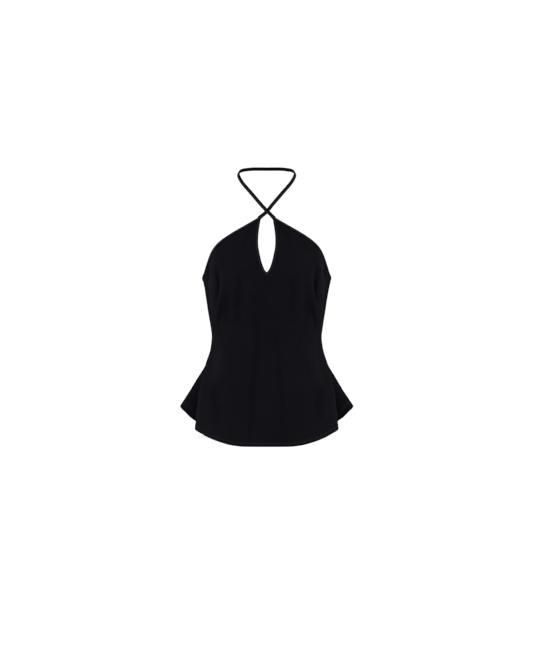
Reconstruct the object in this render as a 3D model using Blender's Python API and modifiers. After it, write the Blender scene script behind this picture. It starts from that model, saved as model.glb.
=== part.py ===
"""Halter neck top in thin stretch jersey, filled out as it is worn, with no wearer inside.

The frame is the garment's own: +Z up, +X towards the wearer's left, the front facing -Y.
The origin is the middle of the neck strap at the nape, from which the garment hangs.

The cloth lies on one hollow form.  A point of the form is given by a turn in degrees
(0 at the centre front, 90 at the wearer's left side, 180 at the centre back) and by a
drop in millimetres below the nape.  The panels, the bindings and the lower ends of the
straps all take their points from it, so they stay one thin gap apart at the seams.
"""

import math
from typing import NamedTuple

import bmesh
import bpy
from mathutils import Vector

# --- Driving dimensions, in millimetres -------------------------------------------------

MILLIMETRE = 0.001
SEAM_GAP = 0.3            # free width between two pieces at a seam
CLOTH = 1.4               # thickness of a panel
SIDE_PLANE = -62.0        # y of the line through both underarms; the nape lies at y = 0
SQUARENESS = 2.4          # exponent of the rounded section, 2 would be an ellipse

BINDING_WIDTH = 6.5       # folded binding on every cut edge of the top
BINDING_PROUD = 0.5       # how far it stands out of the panel on each face
BOUND_THICK = CLOTH + 2 * BINDING_PROUD
STRAP_WIDTH = 8.4         # of the free straps, which are rolled and fuller than the binding
STRAP_THICK = 4.4
CROSSING_DROP = 113.5     # where the two straps cross in front of the throat
CROSSING_FLAT = 8.5       # half-length of the stretch where one strap lies over the other
CROSSING_REACH = 19.0     # half-length of the whole rise to it and back
CROSSING_ROOM = 0.9       # between the middles of the two faces that pass each other there

HORN_WIDTH = 0.8          # width left at the top point of a front half
UNDERARM_DROP = 260.5     # finished edge at the side seam
KEYHOLE_ROOM = 0.9        # upright room between the keyhole binding's ends and the straps
SEAM_TURN_HEM = 97.0      # turn of the side seam at the hem
FLARE_START = 460.0       # drop at which the side flutes begin
FLARE_GROWTH = 1.35       # how fast a flute opens towards the hem

COLUMNS = 15              # of half a panel
UPPER_ROWS = 22           # of the front, beside the keyhole
LOWER_ROWS = 17           # of both panels, below the underarm
COLUMN_CROWDING = 1.5     # above 1, the columns crowd towards the side seam
EDGE_STEPS = 26           # sections along an armhole, and along half of the back's top
KEYHOLE_STEPS = 22
STRAP_STEPS = 46
CURVE_STEPS = 8           # fine steps between two given points of a curve
SETTLED_SHARE = 0.25      # share of a panel's length in which its columns leave the top row's spacing
SETTLE_PASSES = 4
SHARP_ANGLE = 50.0        # degrees; flatter edges are shaded smooth


class Station(NamedTuple):
    """One level of the form: its half-width and its depths from the side plane."""

    drop: float
    half_width: float
    front: float
    back: float


STATIONS = (
    Station(drop=100, half_width=146.0, front=66, back=88),
    Station(drop=130, half_width=147.5, front=78, back=94),
    Station(drop=190, half_width=150.0, front=104, back=100),
    Station(drop=262, half_width=150.2, front=124, back=102),
    Station(drop=293, half_width=145.2, front=123, back=97),
    Station(drop=335, half_width=138.7, front=112, back=86),
    Station(drop=382, half_width=131.1, front=97, back=75),
    Station(drop=401, half_width=129.0, front=94, back=74),
    Station(drop=429, half_width=132.1, front=94, back=80),
    Station(drop=467, half_width=143.8, front=98, back=95),
    Station(drop=505, half_width=155.5, front=104, back=110),
    Station(drop=563, half_width=161.0, front=112, back=120),
    Station(drop=650, half_width=163.0, front=118, back=124),
)


class SeamPlace(NamedTuple):
    """Turn of the side seam at one level."""

    drop: float
    turn: float


SIDE_SEAM = (
    SeamPlace(drop=255, turn=79.0),
    SeamPlace(drop=335, turn=79.5),
    SeamPlace(drop=401, turn=84.0),
    SeamPlace(drop=470, turn=92.5),
    SeamPlace(drop=530, turn=SEAM_TURN_HEM),
)


class EdgePlace(NamedTuple):
    """A place on a cut edge of the form."""

    turn: float
    drop: float


ARMHOLE = (
    EdgePlace(turn=15.4, drop=129.4),
    EdgePlace(turn=30.0, drop=145.0),
    EdgePlace(turn=40.4, drop=158.8),
    EdgePlace(turn=48.6, drop=172.4),
    EdgePlace(turn=55.2, drop=185.8),
    EdgePlace(turn=60.0, drop=199.1),
    EdgePlace(turn=63.2, drop=212.6),
    EdgePlace(turn=65.8, drop=226.1),
    EdgePlace(turn=69.4, drop=240.5),
    EdgePlace(turn=74.2, drop=253.0),
    EdgePlace(turn=79.0, drop=UNDERARM_DROP),
)

BACK_TOP = (
    EdgePlace(turn=79.0, drop=UNDERARM_DROP),
    EdgePlace(turn=92.0, drop=266.5),
    EdgePlace(turn=120.0, drop=270.0),
    EdgePlace(turn=180.0, drop=271.0),
)


class KeyholePlace(NamedTuple):
    """Half the width of the keyhole at one level."""

    across: float
    drop: float


KEYHOLE = (
    KeyholePlace(across=13.4, drop=129.5),
    KeyholePlace(across=14.9, drop=138.5),
    KeyholePlace(across=17.1, drop=152.3),
    KeyholePlace(across=19.3, drop=173.5),
    KeyholePlace(across=19.2, drop=194.6),
    KeyholePlace(across=17.0, drop=208.4),
    KeyholePlace(across=14.2, drop=222.3),
    KeyholePlace(across=10.4, drop=236.5),
    KeyholePlace(across=5.2, drop=249.6),
    KeyholePlace(across=0.0, drop=256.0),
)


class HemPlace(NamedTuple):
    """Drop of the hem at a share of the way from a centre line to the side seam."""

    share: float
    drop: float


HEM = (
    HemPlace(share=0.00, drop=650.3),
    HemPlace(share=0.24, drop=650.3),
    HemPlace(share=0.36, drop=648.2),
    HemPlace(share=0.475, drop=642.4),
    HemPlace(share=0.60, drop=633.9),
    HemPlace(share=0.68, drop=627.8),
    HemPlace(share=0.775, drop=619.0),
    HemPlace(share=0.887, drop=608.0),
    HemPlace(share=0.948, drop=598.0),
    HemPlace(share=0.974, drop=580.0),
    HemPlace(share=1.00, drop=565.5),
)


class Fold(NamedTuple):
    """A fold of the skirt: where it runs, how wide it is and how far it stands at the hem."""

    turn: float
    spread: float
    reach: float
    sharp: bool


FOLDS = (
    Fold(turn=75.0, spread=10.0, reach=10.0, sharp=False),
    Fold(turn=86.0, spread=8.0, reach=-13.0, sharp=False),
    Fold(turn=SEAM_TURN_HEM, spread=9.5, reach=44.5, sharp=True),
    Fold(turn=108.0, spread=8.0, reach=-12.0, sharp=False),
    Fold(turn=120.0, spread=11.0, reach=8.0, sharp=False),
)
CREST_ROUNDING = 0.14     # rounded share of a sharp fold's spread
CREST_POWER = 1.6         # above 1, the sides of a sharp fold are hollow


class StrapPlace(NamedTuple):
    """A place on the middle line of the strap that ends at the wearer's right."""

    x: float
    y: float
    drop: float


STRAP_ROUTE = (
    StrapPlace(x=10.0, y=-137.6, drop=123.0),
    StrapPlace(x=0.0, y=-134.3, drop=CROSSING_DROP),
    StrapPlace(x=-14.5, y=-127.3, drop=96.2),
    StrapPlace(x=-35.4, y=-112.5, drop=70.2),
    StrapPlace(x=-55.4, y=-89.0, drop=44.8),
    StrapPlace(x=-65.0, y=-69.0, drop=27.0),
    StrapPlace(x=-66.0, y=-53.0, drop=16.5),
    StrapPlace(x=-59.0, y=-32.0, drop=7.5),
    StrapPlace(x=-38.0, y=-10.0, drop=1.5),
    StrapPlace(x=-16.0, y=-1.2, drop=0.0),
    StrapPlace(x=-SEAM_GAP / 2, y=0.0, drop=0.0),
)
NECK_LIFT = 0.45          # how much the neck slopes, as seen by the face of a strap
FACING = 0.8              # how much a strap turns its face forward, before the neck
FACING_START = -35.0      # y from which it does so
FACING_RUN = 40.0

PANEL_COLOUR = (0.0060, 0.0058, 0.0080)
TRIM_COLOUR = (0.0085, 0.0082, 0.0105)
CLOTH_ROUGHNESS = 0.85

COLLECTION = "halter_top"


# --- Interpolation -----------------------------------------------------------------------

def smooth_at(places, values, place):
    """Value at one place of a smooth curve that never overshoots its stations."""
    if place <= places[0]:
        return values[0]
    if place >= places[-1]:
        return values[-1]
    last = len(places) - 1
    steps = [places[i + 1] - places[i] for i in range(last)]
    rises = [(values[i + 1] - values[i]) / steps[i] for i in range(last)]
    i = max(k for k in range(last) if places[k] <= place)

    def slope(k):
        if k == 0:
            return rises[0]
        if k == last:
            return rises[-1]
        if rises[k - 1] * rises[k] <= 0:
            return 0.0
        return 2 * rises[k - 1] * rises[k] / (rises[k - 1] + rises[k])

    t = (place - places[i]) / steps[i]
    hermite = (2 * t**3 - 3 * t**2 + 1, t**3 - 2 * t**2 + t, -2 * t**3 + 3 * t**2, t**3 - t**2)
    return (hermite[0] * values[i] + hermite[1] * steps[i] * slope(i)
            + hermite[2] * values[i + 1] + hermite[3] * steps[i] * slope(i + 1))


def column(rows, name):
    """One named column of a table of rows."""
    return [getattr(row, name) for row in rows]


def route_through(points, steps):
    """Evenly spaced points on a Catmull-Rom curve through the given points."""
    ends = [2 * points[0] - points[1]] + list(points) + [2 * points[-1] - points[-2]]
    fine = []
    for a, b, c, d in zip(ends, ends[1:], ends[2:], ends[3:]):
        for k in range(CURVE_STEPS):
            t = k / CURVE_STEPS
            fine.append(0.5 * (2 * b + (c - a) * t + (2 * a - 5 * b + 4 * c - d) * t**2
                               + (3 * b - a - 3 * c + d) * t**3))
    fine.append(points[-1])
    lengths = [0.0]
    for a, b in zip(fine, fine[1:]):
        lengths.append(lengths[-1] + (b - a).length)
    route = []
    for k in range(steps + 1):
        goal = lengths[-1] * k / steps
        i = max(j for j in range(len(fine) - 1) if lengths[j] <= goal)
        share = (goal - lengths[i]) / (lengths[i + 1] - lengths[i])
        route.append(fine[i].lerp(fine[i + 1], min(share, 1.0)))
    return route


def tangents_of(route):
    """Unit direction of a route at each of its points."""
    last = len(route) - 1
    return [(route[min(i + 1, last)] - route[max(i - 1, 0)]).normalized() for i in range(last + 1)]


# --- The form that the cloth lies on ----------------------------------------------------

def seam_turn(drop):
    """Turn of the side seam at a drop."""
    return smooth_at(column(SIDE_SEAM, "drop"), column(SIDE_SEAM, "turn"), drop)


def hem_drop(turn):
    """Drop of the hem below any turn; front and back are cut alike."""
    if turn <= SEAM_TURN_HEM:
        share = abs(turn) / SEAM_TURN_HEM
    else:
        share = (180 - turn) / (180 - SEAM_TURN_HEM)
    return smooth_at(column(HEM, "share"), column(HEM, "drop"), share)


def fold_height(fold, turn):
    """Share of a fold's reach that stands at a turn, from 0 to 1."""
    t = abs(turn - fold.turn) / fold.spread
    if t >= 1:
        return 0.0
    if not fold.sharp:
        return 0.5 * (1 + math.cos(math.pi * t))
    rounded = math.hypot(t, CREST_ROUNDING) - CREST_ROUNDING
    full = math.hypot(1, CREST_ROUNDING) - CREST_ROUNDING
    return (1 - rounded / full) ** CREST_POWER


def form_radius(turn, drop):
    """Distance of the form from its upright middle line."""
    level = [smooth_at(column(STATIONS, "drop"), column(STATIONS, name), drop)
             for name in ("half_width", "front", "back")]
    angle = math.radians(turn)
    depth = level[1] if math.cos(angle) > 0 else level[2]
    across = abs(math.sin(angle)) / level[0]
    along = abs(math.cos(angle)) / depth
    plain = (across**SQUARENESS + along**SQUARENESS) ** (-1 / SQUARENESS)
    opened = (drop - FLARE_START) / (hem_drop(abs(turn)) - FLARE_START)
    if opened <= 0:
        return plain
    reach = sum(fold.reach * fold_height(fold, abs(turn)) for fold in FOLDS)
    return plain + reach * opened**FLARE_GROWTH


def form_point(turn, drop):
    """Point of the form's outer face."""
    angle = math.radians(turn)
    radius = form_radius(turn, drop)
    return Vector((radius * math.sin(angle), SIDE_PLANE - radius * math.cos(angle), -drop))


def form_normal(turn, drop):
    """Outward unit normal of the form."""
    along = form_point(turn + 0.5, drop) - form_point(turn - 0.5, drop)
    upward = form_point(turn, drop - 1) - form_point(turn, drop + 1)
    return along.cross(upward).normalized()


def place_of(point):
    """Turn and drop of the form at the point nearest to a point in space."""
    return math.degrees(math.atan2(point.x, SIDE_PLANE - point.y)), -point.z


def on_form(point):
    """A point in space, set onto the form along its radius."""
    return form_point(*place_of(point))


def turn_across(across, drop):
    """Turn at which the plain front of the form lies a distance across from the centre."""
    low, high = 0.0, 89.0
    for _ in range(40):
        middle = (low + high) / 2
        if form_point(middle, drop).x < across:
            low = middle
        else:
            high = middle
    return low


# --- Edges and the seam lines beside them ------------------------------------------------

def armhole_edge():
    """Finished armhole edge of the wearer's left half, from the top point to the side seam."""
    return route_through([form_point(place.turn, place.drop) for place in ARMHOLE], EDGE_STEPS)


def keyhole_edge():
    """Finished keyhole edge of the wearer's left half, from the top down to its point."""
    places = [form_point(turn_across(place.across, place.drop), place.drop) for place in KEYHOLE]
    return route_through(places, 4 * KEYHOLE_STEPS)


def back_top_edge():
    """Finished top edge of the back's left half, from the side seam to the centre back."""
    return route_through([form_point(place.turn, place.drop) for place in BACK_TOP], EDGE_STEPS)


def beside(edge, distance):
    """An edge moved across the form, to the right of the way it runs, as points on the form."""
    moved = []
    for point, tangent in zip(edge, tangents_of(edge)):
        normal = form_normal(*place_of(point))
        moved.append(on_form(point + distance * tangent.cross(normal).normalized()))
    return moved


def to_side_seam(line, end, side, drop):
    """Sets one end of a line on its own side of the side seam, half a gap away from it."""
    line[end] = form_point(seam_turn(drop) + side * half_gap_turn(drop), drop)
    return line


def keyhole_line(distance):
    """The keyhole edge moved into the cloth, mitred at the centre front."""
    moved = [point for point in beside(keyhole_edge(), -distance) if point.x > 0]
    run = moved[-1] - moved[-2]
    mitre = moved[-1] - run * (moved[-1].x / run.x)
    mitre.x = 0.0
    return moved + [on_form(mitre)]


# --- Meshes -------------------------------------------------------------------------------

def make_material(name, colour):
    """A plain dyed fabric."""
    material = bpy.data.materials.new(name)
    material.use_nodes = True
    shader = material.node_tree.nodes["Principled BSDF"]
    shader.inputs["Base Color"].default_value = (*colour, 1.0)
    shader.inputs["Roughness"].default_value = CLOTH_ROUGHNESS
    shader.inputs["Metallic"].default_value = 0.0
    return material


def add_object(name, points, faces, colour, mirrored):
    """One named solid from points in millimetres, mirrored over the centre plane if asked."""
    mesh = bpy.data.meshes.new(name)
    mesh.from_pydata([point * MILLIMETRE for point in points], [], faces)
    shape = bmesh.new()
    shape.from_mesh(mesh)
    bmesh.ops.remove_doubles(shape, verts=shape.verts, dist=1e-6)
    bmesh.ops.recalc_face_normals(shape, faces=shape.faces)
    shape.to_mesh(mesh)
    shape.free()
    mesh.shade_smooth()
    mesh.set_sharp_from_angle(angle=math.radians(SHARP_ANGLE))
    mesh.materials.append(make_material(name, colour))
    part = bpy.data.objects.new(name, mesh)
    bpy.data.collections[COLLECTION].objects.link(part)
    if mirrored:
        mirror = part.modifiers.new("halves", "MIRROR")
        mirror.use_axis = (True, False, False)
        mirror.use_clip = True
        mirror.merge_threshold = 0.0001
    return part


def wall_faces(rows, columns, closed_edges):
    """Faces of a wall whose outer grid of points is followed by its inner grid."""
    inner = rows * columns

    def at(row, place):
        return row * columns + place

    faces = []
    for row in range(rows - 1):
        for place in range(columns - 1):
            quad = (at(row, place), at(row, place + 1), at(row + 1, place + 1), at(row + 1, place))
            faces.append(quad)
            faces.append(tuple(inner + i for i in reversed(quad)))
    for a, b in closed_edges(at):
        faces.append((b, a, inner + a, inner + b))
    return faces


def at_side_seam(turn, drop):
    """Whether a place lies on an edge of the side seam."""
    return abs(turn - seam_turn(drop)) < 2 * half_gap_turn(drop)


def half_gap_turn(drop):
    """Half of the gap at the side seam, as a turn in degrees."""
    return math.degrees(SEAM_GAP / 2 / form_radius(seam_turn(drop), drop))


def half_panel(name, rows):
    """Half a panel as a wall: rows of places on the form, each row running to the side seam."""
    count = len(rows[0])
    outer = []
    inner = []
    for row in rows:
        for place, (turn, drop) in enumerate(row):
            point = form_point(turn, drop)
            facing = seam_turn(drop) if place == count - 1 and at_side_seam(turn, drop) else turn
            within = point - CLOTH * form_normal(facing, drop)
            if abs(point.x) < 0.01:
                point.x = 0.0
                within.x = 0.0
            outer.append(point)
            inner.append(within)

    def closed_edges(at):
        last_row = len(rows) - 1
        for place in range(count - 1):
            yield at(0, place), at(0, place + 1)
            yield at(last_row, place + 1), at(last_row, place)
        for row in range(last_row):
            yield at(row, count - 1), at(row + 1, count - 1)
            if outer[at(row, 0)].x > 0 or outer[at(row + 1, 0)].x > 0:
                yield at(row + 1, 0), at(row, 0)

    faces = wall_faces(len(rows), count, closed_edges)
    return add_object(name, outer + inner, faces, PANEL_COLOUR, mirrored=True)


def strip_object(name, sections, halved=False):
    """A strip swept through its sections, each a ring of four corners; a half is mirrored."""
    points = [corner for section in sections for corner in section]
    faces = []
    for i in range(len(sections) - 1):
        for k in range(4):
            near, far = 4 * i + k, 4 * i + (k + 1) % 4
            faces.append((near, far, far + 4, near + 4))
    faces.append((3, 2, 1, 0))
    if not halved:
        last = 4 * (len(sections) - 1)
        faces.append((last, last + 1, last + 2, last + 3))
    return add_object(name, points, faces, TRIM_COLOUR, halved)


def binding_sections(edge, seam):
    """Sections of a binding that fills the form between a finished edge and its seam line."""
    sections = []
    for at_edge, at_seam in zip(edge, seam):
        edge_normal = form_normal(*place_of(at_edge))
        seam_normal = form_normal(*place_of(at_seam))
        out, back = BINDING_PROUD, -CLOTH - BINDING_PROUD
        sections.append([at_edge + out * edge_normal, at_seam + out * seam_normal,
                         at_seam + back * seam_normal, at_edge + back * edge_normal])
    return sections


# --- The pieces ---------------------------------------------------------------------------

def crowded(k):
    """Share of the way to the side seam of column k."""
    return 1 - (1 - k / COLUMNS) ** COLUMN_CROWDING


def even_places(route, count):
    """Turns and drops at count + 1 even steps along a route."""
    return [place_of(point) for point in route_through(route, count)]


def armhole_lines():
    """Finished edge and seam line of the armhole binding, from the top point to the side seam."""
    edge = armhole_edge()
    seam = beside(edge, BINDING_WIDTH)
    to_side_seam(edge, -1, -1, UNDERARM_DROP)
    to_side_seam(seam, -1, -1, UNDERARM_DROP + BINDING_WIDTH)
    return edge, seam


def lower_row(top_row, share, centre_turn, side):
    """A row of a panel between its top row and the hem, at a share of the way down."""
    row = []
    for k, (top_turn, top_drop) in enumerate(top_row):
        drop = top_drop
        for _ in range(SETTLE_PASSES):
            at_seam = seam_turn(drop) + side * half_gap_turn(drop)
            turn = centre_turn + (at_seam - centre_turn) * crowded(k)
            settled = min(1.0, share / SETTLED_SHARE)
            turn = top_turn + (turn - top_turn) * settled
            drop = top_drop + (hem_drop(turn) - top_drop) * share
        row.append((turn, drop))
    return row


def make_front():
    """Front panel, cut on the fold, notched by the keyhole."""
    armhole_seam = beside(armhole_edge(), BINDING_WIDTH + SEAM_GAP)
    to_side_seam(armhole_seam, -1, -1, UNDERARM_DROP + BINDING_WIDTH + SEAM_GAP)
    keyhole_seam = keyhole_line(BINDING_WIDTH + SEAM_GAP)
    outer = [point for point in armhole_seam if point.x > keyhole_seam[0].x + HORN_WIDTH]
    inner = [point for point in keyhole_seam if point.z <= outer[0].z]
    rows = []
    for start, end in zip(even_places(inner, UPPER_ROWS), even_places(outer, UPPER_ROWS)):
        rows.append([(start[0] + (end[0] - start[0]) * crowded(k),
                      start[1] + (end[1] - start[1]) * crowded(k)) for k in range(COLUMNS + 1)])
    top_row = rows.pop()
    rows += [lower_row(top_row, step / LOWER_ROWS, 0.0, -1) for step in range(LOWER_ROWS + 1)]
    return half_panel("front", rows)


def make_back():
    """Back panel, cut on the fold, with a straight bound top."""
    top_seam = beside(back_top_edge(), BINDING_WIDTH + SEAM_GAP)
    to_side_seam(top_seam, 0, 1, UNDERARM_DROP + BINDING_WIDTH + SEAM_GAP)
    places = [place_of(point) for point in top_seam]
    turns = [abs(turn) for turn, _ in places]
    drops = [drop for _, drop in places]
    top_row = []
    for k in range(COLUMNS + 1):
        turn = 180 + (turns[0] - 180) * crowded(k)
        top_row.append((turn, smooth_at(turns, drops, turn)))
    rows = [lower_row(top_row, step / LOWER_ROWS, 180.0, 1) for step in range(LOWER_ROWS + 1)]
    return half_panel("back", rows)


def make_back_binding():
    """Binding of the back's top edge, from side seam to side seam."""
    edge = back_top_edge()
    seam = beside(edge, BINDING_WIDTH)
    to_side_seam(edge, 0, 1, UNDERARM_DROP)
    to_side_seam(seam, 0, 1, UNDERARM_DROP + BINDING_WIDTH)
    sections = binding_sections(edge, seam)
    for corner in sections[-1]:
        corner.x = 0.0
    return strip_object("back_binding", sections, halved=True)


def make_keyhole_binding():
    """Binding of the keyhole, mitred to a point at the centre front, its ends under the straps."""
    under = [section[0] for section in strap_sections(0.0) if section[0].x > 0]
    edge = below_line(keyhole_edge(), under)
    seam = below_line(keyhole_line(BINDING_WIDTH), under)
    sections = binding_sections(route_through(edge, KEYHOLE_STEPS), route_through(seam, KEYHOLE_STEPS))
    for corner in sections[-1]:
        corner.x = 0.0
    return strip_object("keyhole_binding", sections, halved=True)


def below_line(line, limit):
    """The points of a line that lie under another line, with room for the seam between them."""
    limit = sorted(limit, key=lambda point: point.x)
    across = [point.x for point in limit]
    drops = [-point.z for point in limit]
    return [point for point in line if -point.z > smooth_at(across, drops, point.x) + KEYHOLE_ROOM]


def neck_normal(point):
    """Outward normal of a strap on the neck and throat, turned forward in front."""
    outward = Vector((point.x, point.y - SIDE_PLANE, 0.0)).normalized()
    ahead = min(max((FACING_START - point.y) / FACING_RUN, 0.0), 1.0)
    return (outward + Vector((0.0, -FACING * ahead, NECK_LIFT))).normalized()


def strap_sections(lift):
    """Sections of the armhole binding and, beyond the top point, of the strap it becomes."""
    edge, seam = armhole_lines()
    bound = binding_sections(edge[::-1], seam[::-1])
    sections = [[corners[i] for i in (1, 0, 3, 2)] for corners in bound]
    middles = [sum(corners, Vector()) / 4 for corners in sections]
    strap = [Vector((place.x, place.y, -place.drop)) for place in STRAP_ROUTE]
    crossing = next(point for point in strap if point.x == 0)
    route = route_through(middles[-2:] + strap, STRAP_STEPS)
    for point, tangent in zip(route, tangents_of(route)):
        if point.x > middles[-1].x - 2:
            continue
        past_crossing = point.x - CROSSING_FLAT
        on_chest = min(max(past_crossing / (middles[-1].x - CROSSING_FLAT), 0.0), 1.0)
        normal = neck_normal(point).lerp(form_normal(*place_of(point)), on_chest)
        across = normal.cross(tangent).normalized()
        normal = tangent.cross(across).normalized()
        from_flat = (point - crossing).length - CROSSING_FLAT
        share = min(max(from_flat / (CROSSING_REACH - CROSSING_FLAT), 0.0), 1.0)
        middle = point + lift * 0.5 * (1 + math.cos(math.pi * share)) * normal
        half = 0.5 * (STRAP_WIDTH + (BINDING_WIDTH - STRAP_WIDTH) * on_chest**3)
        thick = 0.5 * (STRAP_THICK + (BOUND_THICK - STRAP_THICK) * on_chest)
        sections.append([middle + half * across + thick * normal,
                         middle - half * across + thick * normal,
                         middle - half * across - thick * normal,
                         middle + half * across - thick * normal])
    for corner in sections[-1]:
        corner.x = -SEAM_GAP / 2
    return sections


def make_straps():
    """Both armhole bindings with their straps, crossed at the throat."""
    lift = (STRAP_THICK + CROSSING_ROOM) / 2
    strip_object("strap_binding_left", strap_sections(lift))
    mirrored = [[Vector((-corner.x, corner.y, corner.z)) for corner in section]
                for section in strap_sections(-lift)]
    strip_object("strap_binding_right", mirrored)


def clear_scene():
    """Removes whatever the scene holds."""
    for old in list(bpy.data.objects):
        bpy.data.objects.remove(old, do_unlink=True)


def main():
    """Builds the top."""
    clear_scene()
    group = bpy.data.collections.new(COLLECTION)
    bpy.context.scene.collection.children.link(group)
    make_front()
    make_back()
    make_keyhole_binding()
    make_back_binding()
    make_straps()


main()
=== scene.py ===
"""Looks of the black halter neck top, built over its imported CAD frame.

The cloth lies on the same hollow form as the CAD panels.  A place on it is a turn in degrees
(0 at the centre front, 90 at the wearer's left side, 180 at the centre back, negative on the
wearer's right) and a drop in millimetres below the nape.  Folds and creases are named rows of
sizes that raise or lower the cloth.  Every mesh is made in millimetres and scaled to metres.
"""

import math
from typing import NamedTuple

import bmesh
import bpy
import numpy as np
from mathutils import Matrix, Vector


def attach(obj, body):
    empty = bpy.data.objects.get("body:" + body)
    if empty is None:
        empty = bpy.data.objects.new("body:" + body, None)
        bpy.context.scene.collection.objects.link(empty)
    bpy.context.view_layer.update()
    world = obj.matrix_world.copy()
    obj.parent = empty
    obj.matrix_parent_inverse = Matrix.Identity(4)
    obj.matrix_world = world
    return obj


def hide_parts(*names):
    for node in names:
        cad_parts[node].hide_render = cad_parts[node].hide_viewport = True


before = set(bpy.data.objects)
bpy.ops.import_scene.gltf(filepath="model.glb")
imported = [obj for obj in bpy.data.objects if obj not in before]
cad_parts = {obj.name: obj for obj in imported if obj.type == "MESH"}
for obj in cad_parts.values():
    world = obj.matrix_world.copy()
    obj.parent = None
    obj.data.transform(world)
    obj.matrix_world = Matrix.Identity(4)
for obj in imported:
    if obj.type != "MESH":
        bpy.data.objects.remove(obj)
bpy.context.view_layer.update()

# --- Sizes of the form, in millimetres, as in the CAD model ---

MILLIMETRE = 0.001
SIDE_PLANE = -62.0     # y of the line through both underarms; the nape lies at y = 0
SQUARENESS = 2.4       # exponent of the rounded section, 2 would be an ellipse
SEAM_TURN_HEM = 97.0   # turn of the side seam at the hem
UNDERARM_DROP = 257.0  # finished edge at the side seam
FLARE_START = 460.0    # drop at which the side flutes begin
FLARE_GROWTH = 1.35    # how fast a flute opens towards the hem
CREST_ROUNDING = 0.14  # rounded share of a sharp fold's spread
CREST_POWER = 1.6      # above 1, the sides of a sharp fold are hollow

BINDING_WIDTH = 6.5
BOUND_THICK = 2.4      # of a binding, folded over the cloth's edge
STRAP_WIDTH = 8.4      # of the free straps, which are rolled and fuller than the binding
STRAP_THICK = 4.4
CROSSING_DROP = 113.5  # where the two straps cross in front of the throat
CROSSING_FLAT = 8.5    # half-length of the stretch where one strap lies over the other
CROSSING_REACH = 19.0  # half-length of the whole rise to it and back
CROSSING_ROOM = 0.9    # between the middles of the two faces that pass each other there
NECK_LIFT = 0.45       # how much the neck slopes, as seen by the face of a strap
FACING = 0.8           # how much a strap turns its face forward, before the neck
FACING_START = -35.0   # y from which it does so
FACING_RUN = 40.0      # length over which it does so, along y
KEYHOLE_ROOM = -1.0    # upright room between the keyhole binding's ends and the straps' edge
HORN_FULLNESS = 0.15   # how much fuller a strap is between the crossing and its top point
HORN_WIDTH = 0.8       # width left at the top point of a front half
FOOT_ROOM = 2.0        # from the end of the armhole binding to the strap's first section
WIDTH_POWER = 8        # how late a strap narrows towards its foot
HORN_POWER = 1.8       # above 1, it is fullest nearer to its foot
THICK_POWER = 4        # how late it thins
SLIT_POWER = 2         # how late it opens to take the cloth's edge

# --- Sizes of the looks, in millimetres ---

CLOTH = 1.1          # thickness of one layer of the jersey
HEM_CLOTH = 2.0      # thickness of the turned-up hem
HEM_DEPTH = 10.0     # from the hem's edge up to its stitching
HEM_PROUD = 0.35     # how far the turned-up band stands out of the cloth
HEM_SOFTNESS = 1.2   # width of the step at the top of the band
EDGE_ROUNDING = 1.2  # height over which the folded edge closes
LEAST_OPEN = 0.02    # square of the share of its thickness that the edge keeps
TUCK = 1.6           # how far the panels reach into their bindings
SEAM_HALF_GAP = 0.1  # from a panel's edge to the side seam
SEAM_DIP = 0.8       # how far the cloth draws in at the side seam
SEAM_SOFTNESS = 3.0  # width of that draw
MEAN_RADIUS = 140.0  # of the form, for measuring across it

# painted light and shade, laid into the cloth's colour through its point attribute
SHADING_RELIEF = 6.0      # relief of the creases at which the painted highlight on ridges and the painted shade in troughs are full
HEM_LIGHT = 8.2       # middle of the band of painted highlight, from the hem's edge
HEM_LIGHT_HALF = 2.0  # half its width
HEM_HIGHLIGHT = 0.5        # how light it is
HEM_EDGE = 3.5        # height of the painted shade along the edge below it
HEM_SHADE = 0.35      # how dark that edge is
HEM_BLUR = 3.0        # width of the change at the borders of both
SEAM_SHADE = 0.6      # how dark the painted shade at the side seam is
FLUTE_TURN = 86.0     # middle of the side flute's face that gets painted shade
FLUTE_REACH = 10.0    # half its width, in degrees
FLUTE_SHADE = 0.82    # how dark it is
FLUTE_DROP = 520.0    # drop by which it is half dark
FLUTE_BLUR = 90.0     # length over which it darkens

COLUMNS = 64             # of half a panel
UPPER_ROWS = 64          # of the front, beside the keyhole
LOWER_ROWS = 104         # of both panels, between the underarm and the hem's band
HEM_ROWS = (14.0, 12.4, 11.3, 10.6, 10.0, 9.4, 8.4, 6.5, 4.5, 2.8, 1.7, 1.0, 0.55, 0.2, 0.0)
PANEL_LENGTH = 380.0     # from the underarm to the hem, for spacing those rows
COLUMN_CROWDING = 1.4    # above 1, the columns crowd towards the side seam
SETTLED_SHARE = 0.25     # share of the length in which columns leave the top row's spacing
SETTLE_PASSES = 4
HALVINGS = 40            # steps of the search for a turn
FORM_PROBE = 0.5         # degrees to each side, for the direction of the form
CLOTH_PROBE = 0.4        # the same for the cloth
PROBE_DROP = 1.0         # millimetres up and down, for both
CENTRE_TOLERANCE = 0.01  # degrees within which a point is set on the centre plane
WELD = 1e-6              # metres within which points are joined
EDGE_STEPS = 110         # sections along an armhole, and along half of the back's top
KEYHOLE_STEPS = 70
STRAP_STEPS = 150
CURVE_STEPS = 8          # samples between two points of a curve
LEAD_SHARE = 24          # one in this many of an armhole's sections leads into the strap
RING_POINTS = 22         # round the section of a binding
RING_SQUARENESS = 2.4    # exponent of that section
WIDEST_SLIT = 0.98       # share of a binding's thickness
HIGHLIGHT_PLACE = 0.38        # middle of the painted highlight line across a binding, 1 at its inner edge
HIGHLIGHT_WIDTH = 0.26        # how far it spreads, in the same measure
STRIP_SHADE = 0.7        # how dark the painted shade on the two edges of a strip is
STRIP_SHADE_POWER = 4    # how close to the edges that stays
STRAP_HIGHLIGHT = 0.80        # painted highlight of the free straps, as a share of the bindings'
ROLLED_HIGHLIGHT = 3          # they have it once rolled by one part in this many
CREASE_STEPS = 40        # samples along the line of a crease
CREASE_END = 0.04        # share of its length at each end that no longer fades
CREASE_FADE = 0.8        # below 1, a crease stays high for longer
SHARP_ANGLE = 55.0       # degrees between faces, above which the shading shows an edge

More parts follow.
